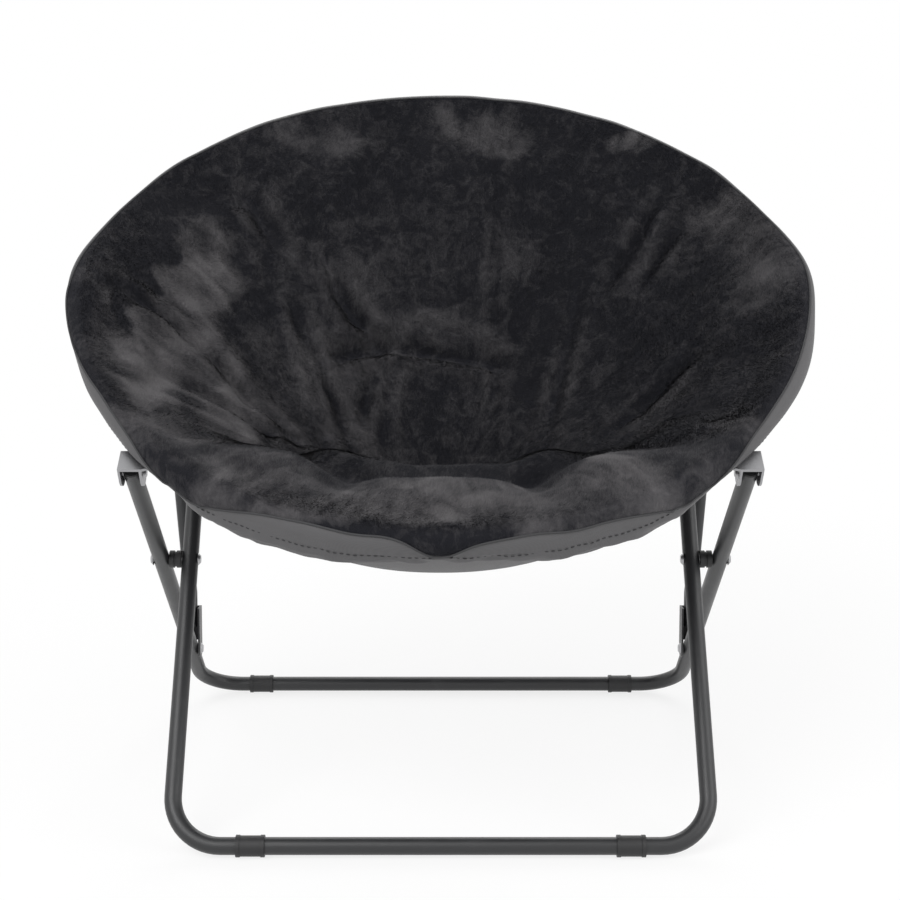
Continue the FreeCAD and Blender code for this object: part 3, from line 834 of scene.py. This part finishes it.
def growPile(source, index):
    # a blade's tip is its root + length * (normal + lean * the way it was brushed), made of length one
    draw = np.random.default_rng(100 + index)
    root, normal, napSheen = scatterRoots(source.data, draw)
    n = len(root)
    u, v, w = roomToRing(root)
    heading = pile["sway"] * (valueNoise(u, v, 7, 41) - 0.5)
    heading = heading + pile["ripple"] * (valueNoise(u, v, 28, 42) - 0.5) + draw.normal(0, pile["scatter"], n)
    heading = heading * (1 - 0.5 * napSheen) - math.pi / 2 + math.pi * napSheen
    crest = np.exp(-((v - pile["crestAt"]) / pile["crestWidth"]) ** 2)
    heading = heading * (1 - crest) + math.pi / 2 * crest
    flow = ringToRoom(np.cos(heading), np.sin(heading), 0 * heading) - ringToRoom(0.0, 0.0, 0.0)
    flow = unit(flow - normal * (flow * normal).sum(axis=1, keepdims=True))
    lean = pile["lean"] * (0.75 + 0.5 * draw.random(n))[:, None]
    way = unit(normal + flow * lean)
    short = 1 - pile["rollShare"] * smoothStep(pile["rollFrom"], pile["rollTo"], np.hypot(u, v))
    length = (pile["length"] * (0.6 + 0.6 * draw.random(n)) * short)[:, None]
    side = unit(np.cross(way, normal + 0.35 * draw.normal(0, 1, (n, 3))))
    side = side * (pile["width"] / 2 * (0.7 + 0.6 * draw.random(n))[:, None])
    root = root - normal * pile["sunk"]
    blades = np.stack([root - side, root + side, root + way * length], axis=1)
    # every blade's front looks away from the surface
    faces = np.arange(3 * n, dtype=np.int32).reshape(-1, 3)
    facing = np.cross(blades[:, 1] - blades[:, 0], blades[:, 2] - blades[:, 0])
    turned = (facing * normal).sum(axis=1) < 0
    faces[turned] = faces[turned][:, [1, 0, 2]]
    piece = addMesh("fur_pile_%d" % index, blades.reshape(-1, 3), faces, (strandPile,))
    # each blade keeps the surface's level of painted sheen and shade, with noise of its own
    setValues(piece.data, "napSheen", np.repeat(napSheen + draw.normal(0, pile["napSheenNoise"], n), 3))
    setValues(piece.data, "tip", np.tile([0.0, 0.0, 1.0], n))
    # shading follows the surface under the pile as well as the blade
    soft = unit(0.75 * normal + 0.25 * upward + 0.15 * flow)
    piece.data.normals_split_custom_set_from_vertices(np.repeat(soft, 3, axis=0).tolist())
    acrossHinge(piece)


for index in range(1, pile["pieces"] + 1):
    growPile(seatCover, index)
print("pile grown")

# Piping over the seam between fur and cloth
piping = {"radius": 0.0010, "proud": 0.0004, "segments": 720, "sides": 8}


def buildPiping():
    # a thin tube swept round the ring along the seam, its circle square to the ring's tangent
    angle = np.linspace(0, 2 * math.pi, piping["segments"], endpoint=False)[:, None]
    side = np.linspace(0, 2 * math.pi, piping["sides"], endpoint=False)[None]
    u, v, w = rollPoint(angle, seamTurn(angle), piping["proud"])
    u = u + piping["radius"] * np.cos(side) * np.cos(angle)
    v = v + piping["radius"] * np.cos(side) * np.sin(angle)
    points = ringToRoom(u, v, w + piping["radius"] * np.sin(side)).reshape(-1, 3)
    return points, gridQuads(piping["segments"], piping["sides"], closed=True)[:, ::-1]


acrossHinge(addMesh("edge_piping", *buildPiping(), (edgeCord,)))
print("piping laid")

# Stitches along the sleeve's seam and the hem: rows of short threads, each a six-sided spindle
stitching = {
    "count": 400,
    "length": 0.0036,
    "radius": 0.0005,
    "lift": 0.0002,
    "hemLift": 0.0009,       # out of the hem's groove
    "sag": 0.0003,           # the ends dip into the cloth
    "rings": ((-1, 0.001), (-0.8, 0.75), (0.0, 1.0), (0.8, 0.75), (1, 0.001)),
}


def hemPoint(angle, proud):
    # on the sewn line round the roll, in its groove
    return rollPoint(angle, np.radians(cover["hemTurn"]) + 0 * angle, proud + stitching["hemLift"])


def sleevePoint(angle, proud):
    # on the underside at the sleeve's seam, and a little under it
    u, v, w = shellPoint(angle, cover["sleeveSeam"] + 0 * angle)
    return u, v, w - proud


def buildStitches(pointAt):
    # spindle: five rings of six about a line along the ring's tangent, closed at both ends
    n, lift = stitching["count"], stitching["lift"]
    angle = (np.arange(n) + 0.5) * 2 * math.pi / n
    place = ringToRoom(*pointAt(angle, lift))
    along = unit(ringToRoom(*pointAt(angle + 0.002, lift)) - ringToRoom(*pointAt(angle - 0.002, lift)))
    away = unit(ringToRoom(*pointAt(angle, 0.01)) - place)
    across = np.cross(along, away)
    t, thick = np.array(stitching["rings"]).T[:, None, :, None]
    side = np.linspace(0, 2 * math.pi, 6, endpoint=False)[None, None, :]
    half, radius = stitching["length"] / 2, stitching["radius"]
    place, along, away, across = (x[:, None, None, :] for x in (place, along, away, across))
    points = (place + along * (t * half + 0 * side)[..., None]
              + away * (radius * thick * np.cos(side) - stitching["sag"] * t ** 2)[..., None]
              + across * (radius * thick * np.sin(side))[..., None])
    caps = np.array([[5, 4, 3, 2, 1, 0], [24, 25, 26, 27, 28, 29]])
    faces = []
    for one in (gridQuads(5, 6), caps):
        faces += (one[None] + 30 * np.arange(n)[:, None, None]).reshape(-1, one.shape[1]).tolist()
    return points.reshape(-1, 3), faces


for name, pointAt in (("sleeve_stitches", sleevePoint), ("hem_stitches", hemPoint)):
    acrossHinge(addMesh(name, *buildStitches(pointAt), (seamThread,)))
print("stitches sewn")

# Floor, light and camera
studio = {
    "floorSize": 12.0,
    "shadowShare": 0.22,     # how much of the floor's own shade the camera sees, none past these radii
    "shadowFrom": 0.5,
    "shadowTo": 1.9,
    "worldStrength": 0.62,
    # name, power, size, place and the point aimed at
    "lamps": (
        ("keyLight", 62.0, 2.2, (-1.5, -2.2, 2.6), (0, 0, 0.35)),
        ("fillLight", 26.0, 2.0, (2.4, -1.2, 1.6), (0, 0, 0.35)),
        ("backLight", 26.0, 2.0, (0.2, 2.6, 2.2), (0, 0, 0.4)),
    ),
}
view = {
    "sensor": 36,
    "lens": 65.84,
    "shift": 0.0103,
    "place": (0, -1.618, 0.674),
    "down": 12.2,            # degrees below the horizon
}


def seenWhite(tree):
    # one for camera, glossy and transmission rays
    path = addNode(tree, "ShaderNodeLightPath").outputs
    seen = math2(tree, "MAXIMUM", path["Is Camera Ray"], path["Is Glossy Ray"])
    return math2(tree, "MAXIMUM", seen, path["Is Transmission Ray"])


def layFloor():
    # plain white to the rays above, but for a share of the lit paper near the chair
    half = studio["floorSize"] / 2
    corners = np.array([[-half, -half, 0], [half, -half, 0], [half, half, 0], [-half, half, 0.0]])
    paper, tree, shader = newMaterial("paleFloor", {"Base Color": (0.96, 0.96, 0.96, 1), "Roughness": 0.9})
    where = addNode(tree, "ShaderNodeTexCoord").outputs["Object"]
    far = addNode(tree, "ShaderNodeVectorMath", {0: where}, operation="LENGTH").outputs["Value"]
    lit = rangeOf(tree, far, studio["shadowFrom"], studio["shadowTo"], studio["shadowShare"], 0.0)
    white = math2(tree, "MULTIPLY", seenWhite(tree), math2(tree, "SUBTRACT", 1.0, lit))
    glow = addNode(tree, "ShaderNodeEmission", {"Strength": 1.0}).outputs[0]
    mix = addNode(tree, "ShaderNodeMixShader", {0: white, 1: shader.outputs[0], 2: glow}).outputs[0]
    fillSockets(tree, next(n for n in tree.nodes if n.type == "OUTPUT_MATERIAL"), {0: mix})
    floor = addMesh("studio_floor", corners, [[0, 1, 2, 3]], (paper,), smooth=False)


def lightStudio():
    world = bpy.data.worlds.new("studioAir")
    bpy.context.scene.world = world
    world.use_nodes = True
    tree = world.node_tree
    strength = studio["worldStrength"]
    level = math2(tree, "ADD", math2(tree, "MULTIPLY", seenWhite(tree), 1 - strength), strength)
    fillSockets(tree, tree.nodes["Background"], {"Strength": level, "Color": (1, 1, 1, 1)})
    for name, power, size, place, aim in studio["lamps"]:
        lamp = bpy.data.lights.new(name, "AREA")
        lamp.energy = power
        lamp.size = size
        light = bpy.data.objects.new(name, lamp)
        bpy.context.scene.collection.objects.link(light)
        light.location = place
        x, y, z = np.array(aim) - np.array(place)
        light.rotation_euler = (math.atan2(math.hypot(x, y), -z), 0, math.atan2(y, x) - math.pi / 2)


def placeCamera():
    lens = bpy.data.cameras.new("photoCamera")
    lens.sensor_width = view["sensor"]
    lens.lens = view["lens"]
    lens.shift_x = view["shift"]
    camera = bpy.data.objects.new("photoCamera", lens)
    bpy.context.scene.collection.objects.link(camera)
    camera.location = view["place"]
    camera.rotation_euler = (math.radians(90 - view["down"]), 0, 0)
    bpy.context.scene.camera = camera


layFloor()
lightStudio()
placeCamera()
bpy.context.scene.view_settings.view_transform = "Standard"
print("studio set")
